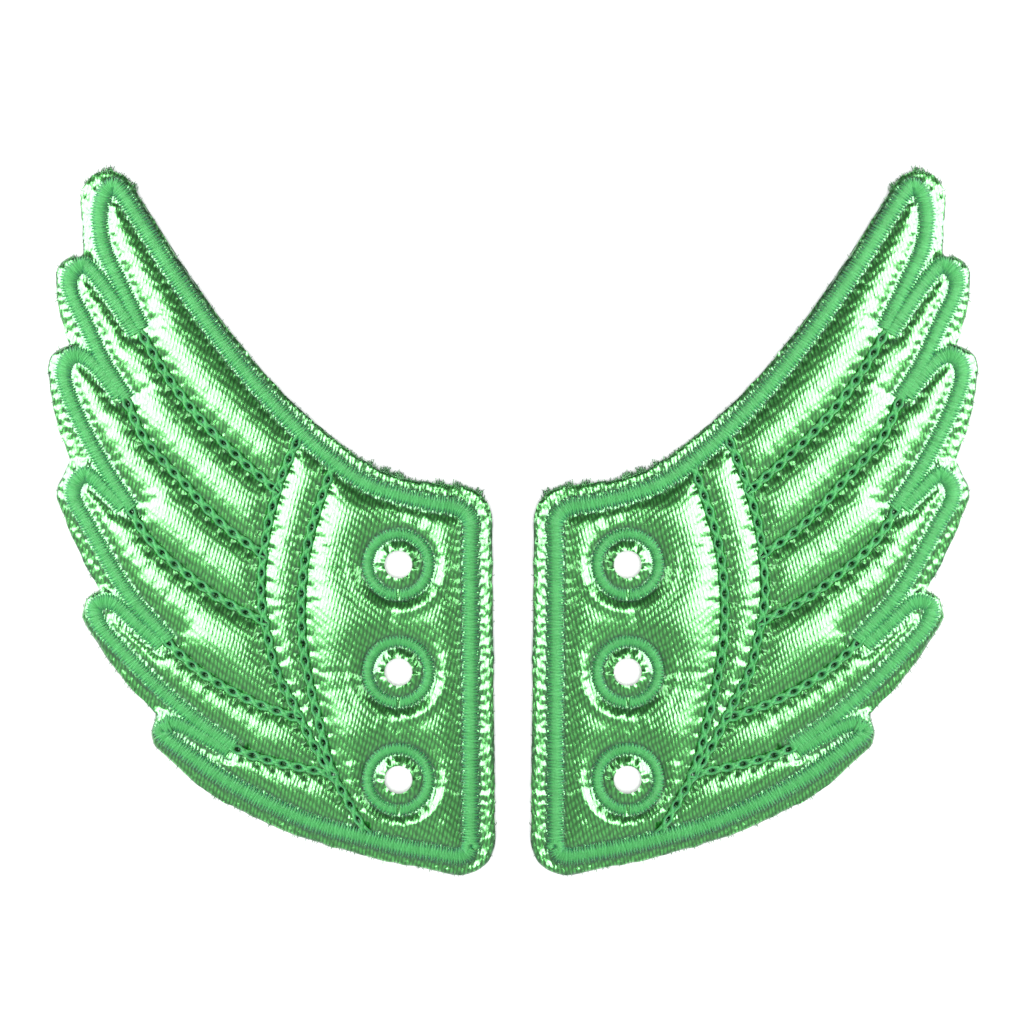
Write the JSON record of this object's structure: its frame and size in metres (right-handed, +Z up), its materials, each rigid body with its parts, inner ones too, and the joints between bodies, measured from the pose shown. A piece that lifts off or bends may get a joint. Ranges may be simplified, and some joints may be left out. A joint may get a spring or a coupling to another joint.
{
  "type": "lace-in shoe wings",
  "caption": "Mirrored pair of padded, embroidered foil-cloth wings that lace onto shoes: each has a tab with lace holes and feathers that fold from it.",
  "frame": {"origin": "midway between the two wings, at the centre of the pair's outline, on the plane of the undersides", "axes": "+X from the left wing to the right wing as seen from above, +Y from the tabs' lower corners to the top feathers, +Z up out of the faces"},
  "size_m": [0.1456, 0.1102, 0.0035],
  "materials": {
    "foil_face": "metallic green foil on finely ribbed cloth, glossy",
    "backing": "plain green woven lining, matt",
    "stiffener": "white nonwoven stiffener, matt",
    "padding": "off-white fibre wadding",
    "thread": "bright green embroidery thread, silky"
  },
  "bodies": {
    "left_tab": {"left_tab_back": "backing", "left_tab_stiffener": "stiffener", "left_tab_padding": "padding", "left_tab_face": "foil_face", "left_fold_strip": "foil_face", "left_tab_border_satin": "thread", "left_band_seam_outer_foot": "thread", "left_eyelet_ring_upper": "thread", "left_eyelet_ring_middle": "thread", "left_eyelet_ring_lower": "thread"},
    "left_feathers": {"left_feathers_back": "backing", "left_feathers_stiffener": "stiffener", "left_feathers_padding": "padding", "left_feathers_face": "foil_face", "left_leading_edge_satin": "thread", "left_trailing_edge_satin": "thread", "left_feather_1_satin": "thread", "left_feather_2_satin": "thread", "left_feather_3_satin": "thread", "left_feather_4_satin": "thread", "left_feather_5_satin": "thread", "left_feather_6_satin": "thread", "left_band_seam_outer": "thread", "left_band_seam_inner": "thread", "left_vein_seam_1": "thread", "left_vein_seam_2": "thread", "left_vein_seam_3": "thread", "left_vein_seam_4": "thread", "left_vein_seam_5": "thread"},
    "right_tab": {"right_tab_back": "backing", "right_tab_stiffener": "stiffener", "right_tab_padding": "padding", "right_tab_face": "foil_face", "right_fold_strip": "foil_face", "right_tab_border_satin": "thread", "right_band_seam_outer_foot": "thread", "right_eyelet_ring_upper": "thread", "right_eyelet_ring_middle": "thread", "right_eyelet_ring_lower": "thread"},
    "right_feathers": {"right_feathers_back": "backing", "right_feathers_stiffener": "stiffener", "right_feathers_padding": "padding", "right_feathers_face": "foil_face", "right_leading_edge_satin": "thread", "right_trailing_edge_satin": "thread", "right_feather_1_satin": "thread", "right_feather_2_satin": "thread", "right_feather_3_satin": "thread", "right_feather_4_satin": "thread", "right_feather_5_satin": "thread", "right_feather_6_satin": "thread", "right_band_seam_outer": "thread", "right_band_seam_inner": "thread", "right_vein_seam_1": "thread", "right_vein_seam_2": "thread", "right_vein_seam_3": "thread", "right_vein_seam_4": "thread", "right_vein_seam_5": "thread"}
  },
  "joints": [
    {"name": "left_fold", "type": "hinge", "parent": "left_tab", "child": "left_feathers", "pos_m": [-0.0285, 0, 0.0015], "axis": [0, 1, 0], "range_deg": [-90, 80], "stiffness_Nm_per_rad": 0.006, "deforming": ["left_fold_strip"]},
    {"name": "right_fold", "type": "hinge", "parent": "right_tab", "child": "right_feathers", "pos_m": [0.0285, 0, 0.0015], "axis": [0, -1, 0], "range_deg": [-90, 80], "stiffness_Nm_per_rad": 0.006, "deforming": ["right_fold_strip"]},
    {"name": "right_wing_apart", "type": "slide", "parent": "left_tab", "child": "right_tab", "axis": [1, 0, 0], "range_m": [0, 0.04]}
  ]
}
